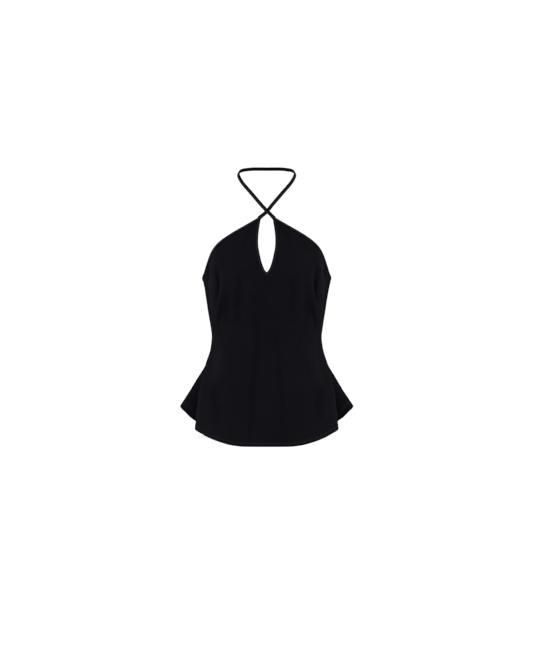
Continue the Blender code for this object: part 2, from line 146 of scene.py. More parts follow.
STITCH_LENGTH = 2.3
STITCH_GAP = 0.5
THREAD = 0.42              # diameter of the sewing thread
THREAD_SIDES = 6
THREAD_END = 0.05          # least width of a stitch, as a share of the thread
STITCH_SAMPLES = 500       # along a row of stitching at the hem
LEAST_SLOPE = 0.25         # cosine of the steepest hem that the stitching follows
HEM_NEEDLES = (9.3, 11.2)  # distances of the twin rows of stitching from the hem's edge
BINDING_NEEDLE = 0.52      # place of the stitching across a binding, 1 at its inner edge

class Station(NamedTuple):
    """One level of the form: its half-width and its depths from the side plane."""

    drop: float
    half_width: float
    front: float
    back: float


STATIONS = (
    Station(drop=100, half_width=146.0, front=66, back=88),
    Station(drop=130, half_width=147.5, front=78, back=94),
    Station(drop=190, half_width=150.0, front=104, back=100),
    Station(drop=262, half_width=150.2, front=124, back=102),
    Station(drop=293, half_width=145.2, front=123, back=97),
    Station(drop=335, half_width=138.7, front=112, back=86),
    Station(drop=382, half_width=131.1, front=97, back=75),
    Station(drop=401, half_width=129.0, front=94, back=74),
    Station(drop=429, half_width=132.1, front=94, back=80),
    Station(drop=467, half_width=143.8, front=98, back=95),
    Station(drop=505, half_width=153.8, front=104, back=110),
    Station(drop=563, half_width=161.0, front=112, back=120),
    Station(drop=650, half_width=163.0, front=118, back=124),
)


class Place(NamedTuple):
    """A place on the form."""

    turn: float
    drop: float


SIDE_SEAM = (
    Place(turn=79.0, drop=255),
    Place(turn=79.5, drop=335),
    Place(turn=84.0, drop=401),
    Place(turn=92.5, drop=470),
    Place(turn=SEAM_TURN_HEM, drop=530),
)

ARMHOLE = (
    Place(turn=15.4, drop=129.4),
    Place(turn=30.0, drop=145.0),
    Place(turn=40.4, drop=158.8),
    Place(turn=48.6, drop=172.4),
    Place(turn=55.2, drop=185.8),
    Place(turn=60.0, drop=199.1),
    Place(turn=63.2, drop=212.6),
    Place(turn=65.8, drop=226.1),
    Place(turn=69.4, drop=240.5),
    Place(turn=74.2, drop=253.0),
    Place(turn=79.0, drop=UNDERARM_DROP),
)

BACK_TOP = (
    Place(turn=79.0, drop=UNDERARM_DROP),
    Place(turn=92.0, drop=266.5),
    Place(turn=120.0, drop=270.0),
    Place(turn=180.0, drop=271.0),
)


class Opening(NamedTuple):
    """Half the width of the keyhole at one level."""

    across: float
    drop: float


KEYHOLE = (
    Opening(across=13.4, drop=129.5),
    Opening(across=14.9, drop=138.5),
    Opening(across=17.1, drop=152.3),
    Opening(across=19.3, drop=173.5),
    Opening(across=19.2, drop=194.6),
    Opening(across=17.0, drop=208.4),
    Opening(across=14.2, drop=222.3),
    Opening(across=10.4, drop=236.5),
    Opening(across=5.2, drop=249.6),
    Opening(across=0.0, drop=256.0),
)


class HemPlace(NamedTuple):
    """Drop of the hem at a share of the way from a centre line to the side seam."""

    share: float
    drop: float


HEM = (
    HemPlace(share=0.00, drop=650.3),
    HemPlace(share=0.24, drop=650.3),
    HemPlace(share=0.36, drop=648.2),
    HemPlace(share=0.475, drop=642.4),
    HemPlace(share=0.60, drop=633.9),
    HemPlace(share=0.68, drop=627.8),
    HemPlace(share=0.775, drop=616.6),
    HemPlace(share=0.887, drop=609.5),
    HemPlace(share=0.925, drop=603.5),
    HemPlace(share=0.948, drop=594.5),
    HemPlace(share=0.974, drop=578.5),
    HemPlace(share=1.00, drop=565.5),
)


class Fold(NamedTuple):
    """A fold of the skirt: where it runs, how wide it is and how far it stands at the hem."""

    turn: float
    spread: float
    reach: float
    sharp: bool


FOLDS = (
    Fold(turn=75.0, spread=10.0, reach=10.0, sharp=False),
    Fold(turn=86.0, spread=8.0, reach=-13.0, sharp=False),
    Fold(turn=SEAM_TURN_HEM, spread=9.5, reach=46.0, sharp=True),
    Fold(turn=108.0, spread=8.0, reach=-12.0, sharp=False),
    Fold(turn=120.0, spread=11.0, reach=8.0, sharp=False),
)


class StrapPlace(NamedTuple):
    """A place on the middle line of the strap that ends at the wearer's right."""

    x: float
    y: float
    drop: float


STRAP_ROUTE = (
    StrapPlace(x=10.0, y=-137.6, drop=123.0),
    StrapPlace(x=0.0, y=-134.3, drop=CROSSING_DROP),
    StrapPlace(x=-14.5, y=-127.3, drop=96.2),
    StrapPlace(x=-35.4, y=-112.5, drop=70.2),
    StrapPlace(x=-55.4, y=-89.0, drop=44.8),
    StrapPlace(x=-65.0, y=-69.0, drop=27.0),
    StrapPlace(x=-66.0, y=-53.0, drop=16.5),
    StrapPlace(x=-59.0, y=-32.0, drop=7.5),
    StrapPlace(x=-38.0, y=-10.0, drop=1.5),
    StrapPlace(x=-16.0, y=-1.2, drop=0.0),
    StrapPlace(x=0.0, y=0.0, drop=0.0),
)


class Crease(NamedTuple):
    """A soft ridge, or with a negative height a trough, along a line of turns and drops.

    It fades out at both ends.  The side is 1 for the wearer's left, -1 for the right and 0
    for both.
    """

    line: tuple
    reach: float
    height: float
    side: int = 0


CREASES = (
    # the broad light column below the armhole, narrowing to a ridge above the waist
    Crease(line=((61, 190), (58, 230), (59, 270), (61.5, 306), (63, 345)), reach=15, height=3.0),
    Crease(line=((60, 262), (62, 298), (64, 328), (67, 354), (71, 380)), reach=6, height=3.6),
    Crease(line=((67, 345), (71, 375), (74, 402), (74, 432)), reach=7, height=3.0),
    # the dark pocket at the underarm, with the light line above it
    Crease(line=((64, 236), (63, 254), (61.5, 272)), reach=6, height=-3.8),
    Crease(line=((74, 249), (68, 259), (61, 278)), reach=3.5, height=1.3),
    # the dark spindle beside the column, and the thin ridge along it
    Crease(line=((52.5, 243), (51, 264), (51, 284), (53, 303), (57, 324)), reach=7, height=-4.4),
    Crease(line=((50, 226), (46, 252), (45, 273), (48, 300), (55, 331)), reach=5, height=1.8),
    Crease(line=((68, 282), (66.5, 300), (66, 320)), reach=6, height=-1.6),
    # the shadows under the bust
    Crease(line=((48, 318), (54, 345), (60, 368), (62, 392)), reach=11, height=-2.6),
    Crease(line=((42, 290), (46, 330), (51, 372)), reach=19, height=-2.0),
    Crease(line=((26, 254), (29, 296), (32, 330), (34, 372)), reach=15, height=-1.6, side=-1),
    Crease(line=((24, 252), (27, 305), (30.5, 362)), reach=15, height=-1.5, side=1),
    # the drag of the straps on the chest
    Crease(line=((19, 144), (24, 174), (28, 204)), reach=14, height=-1.0, side=-1),
    Crease(line=((22, 150), (27, 182), (29, 214)), reach=14, height=-1.0, side=1),
    # the two long troughs down the skirt
    Crease(line=((11, 318), (14.5, 432), (16.5, 522), (18.5, 700)), reach=15, height=-1.1, side=-1),
    Crease(line=((11.5, 318), (14.5, 440), (16.5, 522), (18.5, 690)), reach=15, height=-0.9, side=1),
    # the hip, the hollow below it, and the soft edge of the fold before the flute
    Crease(line=((66, 404), (61, 440), (58, 470), (58, 515)), reach=26, height=1.8),
    Crease(line=((60, 510), (55, 552), (52, 600)), reach=24, height=-1.7),
    Crease(line=((70, 425), (74, 486), (75, 522), (73, 560), (71.5, 625)), reach=9, height=2.2),
    # the small hook in the fold above the hem's corner
    Crease(line=((70.5, 572), (75.5, 580), (72.5, 594), (75.5, 612)), reach=3.4, height=2.4),
    # the seam below the keyhole
    Crease(line=((0, 252), (0, 262), (0, 274)), reach=2.6, height=-0.9),
    # the hidden back, finished like the front
    Crease(line=((99, 276), (103, 310), (101, 352)), reach=9, height=-1.6),
    Crease(line=((112, 300), (118, 345), (126, 392)), reach=11, height=-1.7, side=-1),
    Crease(line=((110, 306), (117, 348), (127, 384)), reach=12, height=-1.5, side=1),
    Crease(line=((104, 352), (116, 380), (134, 404)), reach=8, height=1.3, side=-1),
    Crease(line=((103, 358), (115, 388), (131, 416)), reach=8, height=1.4, side=1),
    Crease(line=((150, 330), (148, 392), (150, 450)), reach=12, height=-1.4, side=-1),
    Crease(line=((152, 342), (149, 398), (152, 470)), reach=12, height=-1.2, side=1),
    Crease(line=((138, 292), (146, 330), (158, 372)), reach=12, height=-0.9, side=1),
    Crease(line=((158, 410), (163, 500), (164, 575), (165, 655)), reach=13, height=-2.0, side=-1),
    Crease(line=((160, 425), (164, 520), (166, 655)), reach=12, height=-1.7, side=1),
    Crease(line=((138, 470), (139, 540), (141, 655)), reach=13, height=1.6),
)


class Swell(NamedTuple):
    """A slow unevenness of the cloth: its count round the form, its length down, its height."""

    count: int
    down: float
    height: float
    phase: float


SWELLS = (
    Swell(count=12, down=118, height=0.22, phase=0.6),
    Swell(count=20, down=87, height=0.13, phase=2.3),
    Swell(count=30, down=52, height=0.07, phase=4.1),
)

# --- Interpolation ---


def column(rows, name):
    """One named column of a table of rows."""
    return np.array([getattr(row, name) for row in rows], float)


def smooth_at(places, values, place):
    """Values, at an array of places, of a smooth curve that never overshoots its stations."""
    steps = np.diff(places)
    rises = np.diff(values) / steps
    product = rises[:-1] * rises[1:]
    total = np.where(product > 0, rises[:-1] + rises[1:], 1.0)
    inside = np.where(product > 0, 2 * product / total, 0.0)
    slopes = np.concatenate([rises[:1], inside, rises[-1:]])
    place = np.clip(place, places[0], places[-1])
    i = np.clip(np.searchsorted(places, place, side="right") - 1, 0, len(places) - 2)
    t = (place - places[i]) / steps[i]
    near = (2 * t**3 - 3 * t**2 + 1) * values[i] + (t**3 - 2 * t**2 + t) * steps[i] * slopes[i]
    far = (3 * t**2 - 2 * t**3) * values[i + 1] + (t**3 - t**2) * steps[i] * slopes[i + 1]
    return near + far


def soft_step(values, softness):
    """0 well below zero, 1 well above it, with a smooth rise about zero."""
    t = np.clip(values / softness + 0.5, 0.0, 1.0)
    return t * t * (3 - 2 * t)


def lengths_along(points):
    """Length of a line of points up to each of them."""
    return np.concatenate([[0.0], np.cumsum(np.linalg.norm(np.diff(points, axis=0), axis=1))])


def read_off(places, lengths, rows):
    """Rows of values known at lengths along a line, read off at other places along it."""
    return np.stack([np.interp(places, lengths, values) for values in rows.T], axis=1)


def evenly(points, steps):
    """A line's points, spaced evenly."""
    lengths = lengths_along(points)
    return read_off(np.linspace(0, lengths[-1], steps + 1), lengths, points)


def route_through(points, steps):
    """Evenly spaced points on a Catmull-Rom curve through the given points."""
    points = np.asarray(points, float)
    ends = np.vstack([2 * points[0] - points[1], points, 2 * points[-1] - points[-2]])
    t = (np.arange(CURVE_STEPS) / CURVE_STEPS)[:, None]
    fine = []
    for a, b, c, d in zip(ends, ends[1:], ends[2:], ends[3:]):
        square = (2 * a - 5 * b + 4 * c - d) * t**2
        cube = (3 * b - a - 3 * c + d) * t**3
        fine.append(0.5 * (2 * b + (c - a) * t + square + cube))
    return evenly(np.vstack(fine + [points[-1:]]), steps)


def unit(vectors):
    """Vectors at unit length."""
    return vectors / np.linalg.norm(vectors, axis=-1, keepdims=True)


def tangents_of(route):
    """Unit direction of a route at each of its points."""
    return unit(np.gradient(route, axis=0))


# --- The form that the cloth lies on ---


def seam_turn(drop):
    """Turn of the side seam at a drop."""
    return smooth_at(column(SIDE_SEAM, "drop"), column(SIDE_SEAM, "turn"), drop)


def hem_drop(turn):
    """Drop of the hem below any turn; front and back are cut alike."""
    turn = np.abs(turn)
    share = np.minimum(turn / SEAM_TURN_HEM, (180 - turn) / (180 - SEAM_TURN_HEM))
    share = np.where(turn <= SEAM_TURN_HEM, turn / SEAM_TURN_HEM, share)
    return smooth_at(column(HEM, "share"), column(HEM, "drop"), share)


def fold_height(fold, turn):
    """Share of a fold's reach that stands at a turn, from 0 to 1."""
    t = np.minimum(np.abs(turn - fold.turn) / fold.spread, 1.0)
    if not fold.sharp:
        return 0.5 * (1 + np.cos(math.pi * t))
    rounded = np.hypot(t, CREST_ROUNDING) - CREST_ROUNDING
    full = math.hypot(1, CREST_ROUNDING) - CREST_ROUNDING
    return (1 - rounded / full) ** CREST_POWER


def form_radius(turn, drop):
    """Distance of the form from its upright middle line."""
    half_width = smooth_at(column(STATIONS, "drop"), column(STATIONS, "half_width"), drop)
    front = smooth_at(column(STATIONS, "drop"), column(STATIONS, "front"), drop)
    back = smooth_at(column(STATIONS, "drop"), column(STATIONS, "back"), drop)
    angle = np.radians(turn)
    depth = np.where(np.cos(angle) > 0, front, back)
    across = np.abs(np.sin(angle)) / half_width
    along = np.abs(np.cos(angle)) / depth
    plain = (across**SQUARENESS + along**SQUARENESS) ** (-1 / SQUARENESS)
    opened = np.maximum((drop - FLARE_START) / (hem_drop(turn) - FLARE_START), 0.0)
    reach = sum(fold.reach * fold_height(fold, np.abs(turn)) for fold in FOLDS)
    return plain + reach * opened**FLARE_GROWTH


def form_point(turn, drop):
    """Points of the form."""
    turn, drop = np.broadcast_arrays(np.asarray(turn, float), np.asarray(drop, float))
    angle = np.radians(turn)
    radius = form_radius(turn, drop)
    across, deep = radius * np.sin(angle), SIDE_PLANE - radius * np.cos(angle)
    return np.stack([across, deep, -drop], axis=-1)


def form_normal(turn, drop):
    """Outward unit normals of the form."""
    along = form_point(turn + FORM_PROBE, drop) - form_point(turn - FORM_PROBE, drop)
    upward = form_point(turn, drop - PROBE_DROP) - form_point(turn, drop + PROBE_DROP)
    return unit(np.cross(along, upward))


def place_of(points):
    """Turns and drops of the form at the points nearest to points in space."""
    turn = np.degrees(np.arctan2(points[..., 0], SIDE_PLANE - points[..., 1]))
    return turn, -points[..., 2]


def on_form(points):
    """Points in space, set onto the form along its radius."""
    return form_point(*place_of(points))


def turn_across(across, drop):
    """Turn at which the plain front of the form lies a distance across from the centre."""
    low, high = 0.0, 89.0
    for _ in range(HALVINGS):
        middle = (low + high) / 2
        if form_point(middle, drop)[0] < across:
            low = middle
        else:
            high = middle
    return low


# --- Relief of the cloth ---


def crease_height(crease, turn, drop):
    """How far one crease raises the cloth at each place."""
    line = np.array([(a * math.radians(MEAN_RADIUS), d, 0.0) for a, d in crease.line])
    line = route_through(line, CREASE_STEPS)
    across = turn * math.radians(MEAN_RADIUS)
    if crease.side:
        across = across * crease.side
    else:
        across = np.abs(across)
    nearest = np.full(across.shape, np.inf)
    share = np.zeros(across.shape)
    for k, (x, y, _) in enumerate(line):
        distance = np.hypot(across - x, drop - y)
        closer = distance < nearest
        nearest = np.where(closer, distance, nearest)
        share = np.where(closer, k / CREASE_STEPS, share)
    profile = 0.5 * (1 + np.cos(math.pi * np.minimum(nearest / crease.reach, 1.0)))
    share = np.clip(share, CREASE_END, 1 - CREASE_END)
    return crease.height * profile * np.sin(math.pi * share) ** CREASE_FADE


def all_creases(turn, drop):
    """How far the creases together raise the cloth at each place."""
    return sum(crease_height(crease, turn, drop) for crease in CREASES)


def hem_distance(turn, drop):
    """Distance of each place from the hem's edge, measured square to it."""
    step = 0.25
    rise = hem_drop(turn + step) - hem_drop(turn - step)
    run = form_radius(turn, drop) * math.radians(2 * step)
    return (hem_drop(turn) - drop) / np.hypot(1.0, rise / run)


def seam_closeness(turn, drop):
    """1 at the side seam, falling to 0 a little way from it."""
    from_seam = np.abs(np.abs(turn) - seam_turn(drop)) * math.radians(1) * form_radius(turn, drop)
    return soft_step(SEAM_SOFTNESS / 2 - from_seam, SEAM_SOFTNESS)


def relief(turn, drop):
    """Height of the cloth's outer face over the form."""
    height = all_creases(turn, drop)
    for swell in SWELLS:
        slanted = swell.count * np.radians(turn) + 2 * math.pi * drop / swell.down
        height = height + swell.height * np.sin(slanted + swell.phase)
    in_band = soft_step(HEM_DEPTH - hem_distance(turn, drop), HEM_SOFTNESS)
    return height + HEM_PROUD * in_band - SEAM_DIP * seam_closeness(turn, drop)


def painted_shading_at(turn, drop):
    """Painted light and shade: a painted highlight on the ridges and the hem's band, above 0, and
    painted shade in the troughs, the flute's face, the hem's edge and the side seam, below.
    """
    from_hem = hem_distance(turn, drop)
    hem_highlight = soft_step(HEM_LIGHT_HALF - np.abs(from_hem - HEM_LIGHT), HEM_BLUR)
    band = HEM_HIGHLIGHT * hem_highlight - HEM_SHADE * soft_step(HEM_EDGE - from_hem, HEM_BLUR)
    past_fold = (np.abs(turn) - FLUTE_TURN) / FLUTE_REACH
    flute = np.clip(1 - past_fold**2, 0.0, 1.0) * soft_step(drop - FLUTE_DROP, FLUTE_BLUR)
    lightness = all_creases(turn, drop) / SHADING_RELIEF + band * (1 - flute) - FLUTE_SHADE * flute
    return np.clip(lightness - SEAM_SHADE * seam_closeness(turn, drop), -1.0, 1.0)


def cloth_point(turn, drop):
    """Points of the cloth's outer face."""
    return form_point(turn, drop) + relief(turn, drop)[..., None] * form_normal(turn, drop)


def cloth_normal(turn, drop):
    """Outward unit normals of the cloth's outer face."""
    along = cloth_point(turn + CLOTH_PROBE, drop) - cloth_point(turn - CLOTH_PROBE, drop)
    upward = cloth_point(turn, drop - PROBE_DROP) - cloth_point(turn, drop + PROBE_DROP)
    return unit(np.cross(along, upward))


# --- Edges and the seam lines beside them ---


def edge_through(rows, steps):
    """A finished edge of the form through a table of places."""
    return route_through(form_point(column(rows, "turn"), column(rows, "drop")), steps)


def keyhole_edge(steps):
    """Finished keyhole edge of the wearer's left half, from the top down to its point."""
    places = [form_point(turn_across(row.across, row.drop), row.drop) for row in KEYHOLE]
    return route_through(places, steps)


def beside(edge, distance):
    """An edge moved across the form, to the right of the way it runs, as points on the form."""
    normals = form_normal(*place_of(edge))
    return on_form(edge + distance * unit(np.cross(tangents_of(edge), normals)))


def to_side_seam(line, end, side, drop):
    """Sets one end of a line beside the side seam, on its own side of it."""
    gap = math.degrees(SEAM_HALF_GAP / MEAN_RADIUS)
    line[end] = form_point(seam_turn(drop) + side * gap, drop)
    return line


def keyhole_line(distance, steps):
    """The keyhole edge moved into the cloth, mitred at the centre front."""
    moved = beside(keyhole_edge(steps), -distance)
    moved = moved[moved[:, 0] > 0]
    run = moved[-1] - moved[-2]
    mitre = moved[-1] - run * (moved[-1][0] / run[0])
    mitre[0] = 0.0
    return np.vstack([moved, on_form(mitre)])


# --- Panels ---


def crowded():
    """Shares of the way to the side seam of a half panel's columns."""
    return 1 - (1 - np.arange(COLUMNS + 1) / COLUMNS) ** COLUMN_CROWDING


def lower_rows(top_turn, top_drop, centre_turn, side):
    """Rows of a half panel from its top row down to the hem."""
    band = 1 - HEM_ROWS[0] / PANEL_LENGTH
    shares = list(np.linspace(0, band, LOWER_ROWS + 1)[:-1])
    shares += [1 - height / PANEL_LENGTH for height in HEM_ROWS]
    gap = math.degrees(SEAM_HALF_GAP / MEAN_RADIUS)
    turns, drops = [], []
    for share in shares:
        settled = min(1.0, share / SETTLED_SHARE)
        drop = top_drop
        for _ in range(SETTLE_PASSES):
            turn = centre_turn + (seam_turn(drop) + side * gap - centre_turn) * crowded()
            turn = top_turn + (turn - top_turn) * settled
            drop = top_drop + (hem_drop(turn) - top_drop) * share
        turns.append(turn)
        drops.append(drop)
    return np.array(turns), np.array(drops)


def front_half():
    """Turns and drops of the front's left half, and how many rows lie beside the keyhole."""
    reach = BINDING_WIDTH - TUCK
    outer = beside(edge_through(ARMHOLE, EDGE_STEPS), reach)
    to_side_seam(outer, -1, -1, UNDERARM_DROP + reach)
    inner = keyhole_line(reach, 4 * KEYHOLE_STEPS)
    outer = outer[outer[:, 0] > inner[0, 0] + HORN_WIDTH]
    inner = inner[inner[:, 2] <= outer[0, 2]]
    start_turn, start_drop = place_of(evenly(inner, UPPER_ROWS))
    end_turn, end_drop = place_of(evenly(outer, UPPER_ROWS))
    share = crowded()[None, :]
    turns = start_turn[:, None] + (end_turn - start_turn)[:, None] * share
    drops = start_drop[:, None] + (end_drop - start_drop)[:, None] * share
    low_turns, low_drops = lower_rows(turns[-1], drops[-1], 0.0, -1)
    return np.vstack([turns[:-1], low_turns]), np.vstack([drops[:-1], low_drops]), UPPER_ROWS


def back_half():
    """Turns and drops of the back's left half."""
    reach = BINDING_WIDTH - TUCK
    top = beside(edge_through(BACK_TOP, EDGE_STEPS), reach)
    to_side_seam(top, 0, 1, UNDERARM_DROP + reach)
    turns, drops = place_of(top)
    turns = np.abs(turns)
    top_turn = 180 + (turns[0] - 180) * crowded()
    top_drop = smooth_at(turns, drops, top_turn)
    turns, drops = lower_rows(top_turn, top_drop, 180.0, 1)
    return turns, drops, 0


def quads(index):
    """Quads of a grid of point numbers."""
    corners = (index[:-1, :-1], index[:-1, 1:], index[1:, 1:], index[1:, :-1])
    return np.stack(corners, axis=-1).reshape(-1, 4)


def half_wall(turns, drops, keyhole_rows, side):
    """Points, faces, cloth coordinates and painted light and shade of half a panel with its
    thickness.
    """
    turns = turns * side
    distance = hem_distance(turns, drops)
    in_band = soft_step(HEM_DEPTH - distance, HEM_SOFTNESS)
    thick = CLOTH + (HEM_CLOTH - CLOTH) * in_band
    closing = np.clip(1 - distance / EDGE_ROUNDING, 0.0, 1.0)
    open_thick = thick * np.sqrt(np.maximum(1 - closing**2, LEAST_OPEN))
    normals = form_normal(turns, drops)
    outer = cloth_point(turns, drops) - ((thick - open_thick) / 2)[..., None] * normals
    inner = outer - open_thick[..., None] * normals
    on_centre = np.abs(np.abs(turns) - 180 * (np.abs(turns) > 90)) < CENTRE_TOLERANCE
    outer[on_centre, 0] = 0.0
    inner[on_centre, 0] = 0.0
    index = np.arange(turns.size).reshape(turns.shape)
    upper_border = [index[keyhole_rows::-1, 0], index[0, 1:]]
    border = np.concatenate([*upper_border, index[1:, -1], index[-1, -2::-1]])
    behind = border + turns.size
    rim = np.stack([border[:-1], border[1:], behind[1:], behind[:-1]], axis=-1)
    faces = np.vstack([quads(index), quads(index + turns.size), rim])
    flat = np.stack([turns * math.radians(MEAN_RADIUS), drops], axis=-1).reshape(-1, 2)
    points = np.vstack([outer.reshape(-1, 3), inner.reshape(-1, 3)])
    # painted highlight and painted shade of each point, from the creases, the hem, the flute and the
    # seam
    painted_shading = painted_shading_at(turns, drops).reshape(-1)
    return points, faces, np.tile(flat, (2, 1)), np.tile(painted_shading, 2)


def panel(name, node, turns, drops, keyhole_rows):
    """A whole panel from its half grid."""
    left = half_wall(turns, drops, keyhole_rows, 1)
    right = half_wall(turns, drops, keyhole_rows, -1)
    points = np.vstack([left[0], right[0]])
    faces = np.vstack([left[1], right[1] + len(left[0])])
    flat = np.vstack([left[2], right[2]])
    painted_shading = np.concatenate([left[3], right[3]])
    return add_piece(name, node, points, faces, flat, painted_shading)


# --- Meshes ---


def add_object(name, data):
    """A new object in the scene."""
    thing = bpy.data.objects.new(name, data)
    bpy.context.scene.collection.objects.link(thing)
    return thing


def add_piece(name, node, points, faces, flat, painted_shading):
    """A named piece that rides on the garment and stands for a CAD node."""
    mesh = bpy.data.meshes.new(name)
    mesh.from_pydata((points * MILLIMETRE).tolist(), [], [list(map(int, face)) for face in faces])
    layer = mesh.uv_layers.new(name="cloth")
    corners = np.zeros(len(mesh.loops), np.int32)
    mesh.loops.foreach_get("vertex_index", corners)
    layer.data.foreach_set("uv", (flat[corners] * MILLIMETRE).astype(np.float32).ravel())
    # this point attribute carries painted light and shade into the fabric's colour
    attribute = mesh.attributes.new("painted_shading", "FLOAT", "POINT")
    attribute.data.foreach_set("value", np.asarray(painted_shading, np.float32))
    shape = bmesh.new()
    shape.from_mesh(mesh)
    bmesh.ops.remove_doubles(shape, verts=shape.verts, dist=WELD)
    bmesh.ops.recalc_face_normals(shape, faces=shape.faces)
    shape.to_mesh(mesh)
    shape.free()
    mesh.shade_smooth()
    mesh.set_sharp_from_angle(angle=math.radians(SHARP_ANGLE))
    piece = add_object(name, mesh)
    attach(piece, "root")
    if node:
        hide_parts(node)
    return piece


class Strip(NamedTuple):
    """A folded strip: its middle line, its inner direction, its outer direction and its sizes."""

    middle: np.ndarray
    inward: np.ndarray
    outward: np.ndarray
    half: np.ndarray
    thick: np.ndarray
    slit: np.ndarray


def ring_of(slit):
    """Places round the section of a strip, from one lip of its slit to the other."""
    start = math.asin(min(slit, WIDEST_SLIT) ** (RING_SQUARENESS / 2))
    angles = np.linspace(start, 2 * math.pi - start, RING_POINTS)
    power = 2 / RING_SQUARENESS
    a = np.sign(np.cos(angles)) * np.abs(np.cos(angles)) ** power
    b = np.sign(np.sin(angles)) * np.abs(np.sin(angles)) ** power
    return a, b


def strip_painted_shading(strip):
    """Painted light and shade of a strip, the same round every section: a painted highlight line
    along its crown between edges darkened with painted shade.
    """
    a, b = ring_of(strip.slit[-1])
    rolled = np.clip((strip.thick - BOUND_THICK) / (STRAP_THICK - BOUND_THICK), 0.0, 1.0)
    bright = 1 - (1 - STRAP_HIGHLIGHT) * np.minimum(ROLLED_HIGHLIGHT * rolled, 1.0)
    line = np.exp(-(((a - HIGHLIGHT_PLACE) / HIGHLIGHT_WIDTH) ** 2)) * (b > 0)
    painted_shading = bright[:, None] * line - STRIP_SHADE * np.abs(a) ** STRIP_SHADE_POWER
    return np.clip(painted_shading, -1.0, 1.0).reshape(-1)


def strip_piece(name, node, strip, mirrored=False, halves=False):
    """A piece swept through the sections of a folded strip."""
    rings, flat = [], []
    lengths = lengths_along(strip.middle)
    for k in range(len(strip.middle)):
        a, b = ring_of(strip.slit[k])
        across = (a * strip.half[k])[:, None] * strip.inward[k]
        proud = (b * strip.thick[k] / 2)[:, None] * strip.outward[k]
        ring = strip.middle[k] + across + proud
        rings.append(ring)
        flat.append(np.stack([lengths_along(ring), np.full(RING_POINTS, lengths[k])], axis=-1))
    points = np.vstack(rings)
    flat = np.vstack(flat)
    # a painted highlight along the crown and painted shade at the edges
    painted_shading = strip_painted_shading(strip)
    index = np.arange(len(points)).reshape(-1, RING_POINTS)
    faces = [list(face) for face in quads(index)]
    faces.append(list(index[0]))
    if not halves:
        faces.append(list(index[-1]))
    if mirrored:
        points = points * (-1, 1, 1)
    if halves:
        points[index[-1], 0] = 0.0
        faces += [[i + len(points) for i in face] for face in faces]
        points = np.vstack([points, points * (-1, 1, 1)])
        flat = np.vstack([flat, flat])
        painted_shading = np.tile(painted_shading, 2)
    return add_piece(name, node, points, faces, flat, painted_shading)


def binding_strip(edge, seam):
    """The strip that is folded round a finished edge."""
    outward = unit(form_normal(*place_of(edge)) + form_normal(*place_of(seam)))
    middle = (edge + seam) / 2 - CLOTH / 2 * outward
    half = np.linalg.norm(seam - edge, axis=1) / 2
    thick = np.full(len(edge), BOUND_THICK)
    return Strip(middle, unit(seam - edge), outward, half, thick, CLOTH / thick)


def below_line(line, limit):
    """The points of a line that lie under another line, with room for the seam between them."""
    limit = limit[np.argsort(limit[:, 0])]
    top = np.interp(line[:, 0], limit[:, 0], limit[:, 2])
    return line[line[:, 2] < top - KEYHOLE_ROOM]


def strap_facing(route, along, on_chest):
    """Inner and outer directions of a strap, which turns from the chest's face to the neck's."""
    level = unit(np.stack([route[:, 0], route[:, 1] - SIDE_PLANE, 0 * route[:, 0]], axis=-1))
    ahead = np.clip((FACING_START - route[:, 1]) / FACING_RUN, 0.0, 1.0)
    neck = unit(level + np.stack([0 * ahead, -FACING * ahead, NECK_LIFT + 0 * ahead], axis=-1))
    chest = form_normal(*place_of(route))
    outward = neck + (chest - neck) * on_chest[:, None]
    inward = unit(np.cross(outward, along))
    return inward, unit(np.cross(along, inward))


def crossing_rise(route):
    """Share of a strap's lift at each point of its route, 1 at the crossing."""
    crossing = np.array([0.0, STRAP_ROUTE[1].y, -CROSSING_DROP])
    from_flat = np.linalg.norm(route - crossing, axis=1) - CROSSING_FLAT
    share = np.clip(from_flat / (CROSSING_REACH - CROSSING_FLAT), 0.0, 1.0)
    return 0.5 * (1 + np.cos(math.pi * share))


def strap_strip(lift):
    """The armhole binding of the wearer's left and, beyond the top point, its strap."""
    edge = edge_through(ARMHOLE, EDGE_STEPS)
    seam = beside(edge, BINDING_WIDTH)
    to_side_seam(edge, -1, -1, UNDERARM_DROP)
    to_side_seam(seam, -1, -1, UNDERARM_DROP + BINDING_WIDTH)
    bound = binding_strip(edge[::-1], seam[::-1])
    foot = bound.middle[-1]
    strap = np.array([(row.x, row.y, -row.drop) for row in STRAP_ROUTE])
    lead = bound.middle[-1 - EDGE_STEPS // LEAD_SHARE]
    route = route_through(np.vstack([lead, foot, strap]), STRAP_STEPS)
    along = tangents_of(route)
    past = route[:, 0] < foot[0] - FOOT_ROOM
    route, along = route[past], along[past]
    on_chest = np.clip((route[:, 0] - CROSSING_FLAT) / (foot[0] - CROSSING_FLAT), 0.0, 1.0)
    inward, outward = strap_facing(route, along, on_chest)
    route = route + (lift * crossing_rise(route))[:, None] * outward
    half = 0.5 * (STRAP_WIDTH + (BINDING_WIDTH - STRAP_WIDTH) * on_chest**WIDTH_POWER)
    half = half * (1 + HORN_FULLNESS * np.sin(math.pi * on_chest**HORN_POWER))
    thick = STRAP_THICK + (BOUND_THICK - STRAP_THICK) * on_chest**THICK_POWER
    slit = CLOTH / BOUND_THICK * on_chest**SLIT_POWER
    free = Strip(route, inward, outward, half, thick, slit)
    return Strip(*(np.concatenate(pair) for pair in zip(bound, free)))


def back_strip():
    """The binding of the left half of the back's top edge."""
    edge = edge_through(BACK_TOP, EDGE_STEPS)
    seam = beside(edge, BINDING_WIDTH)
    to_side_seam(edge, 0, 1, UNDERARM_DROP)
    to_side_seam(seam, 0, 1, UNDERARM_DROP + BINDING_WIDTH)
    return binding_strip(edge, seam)


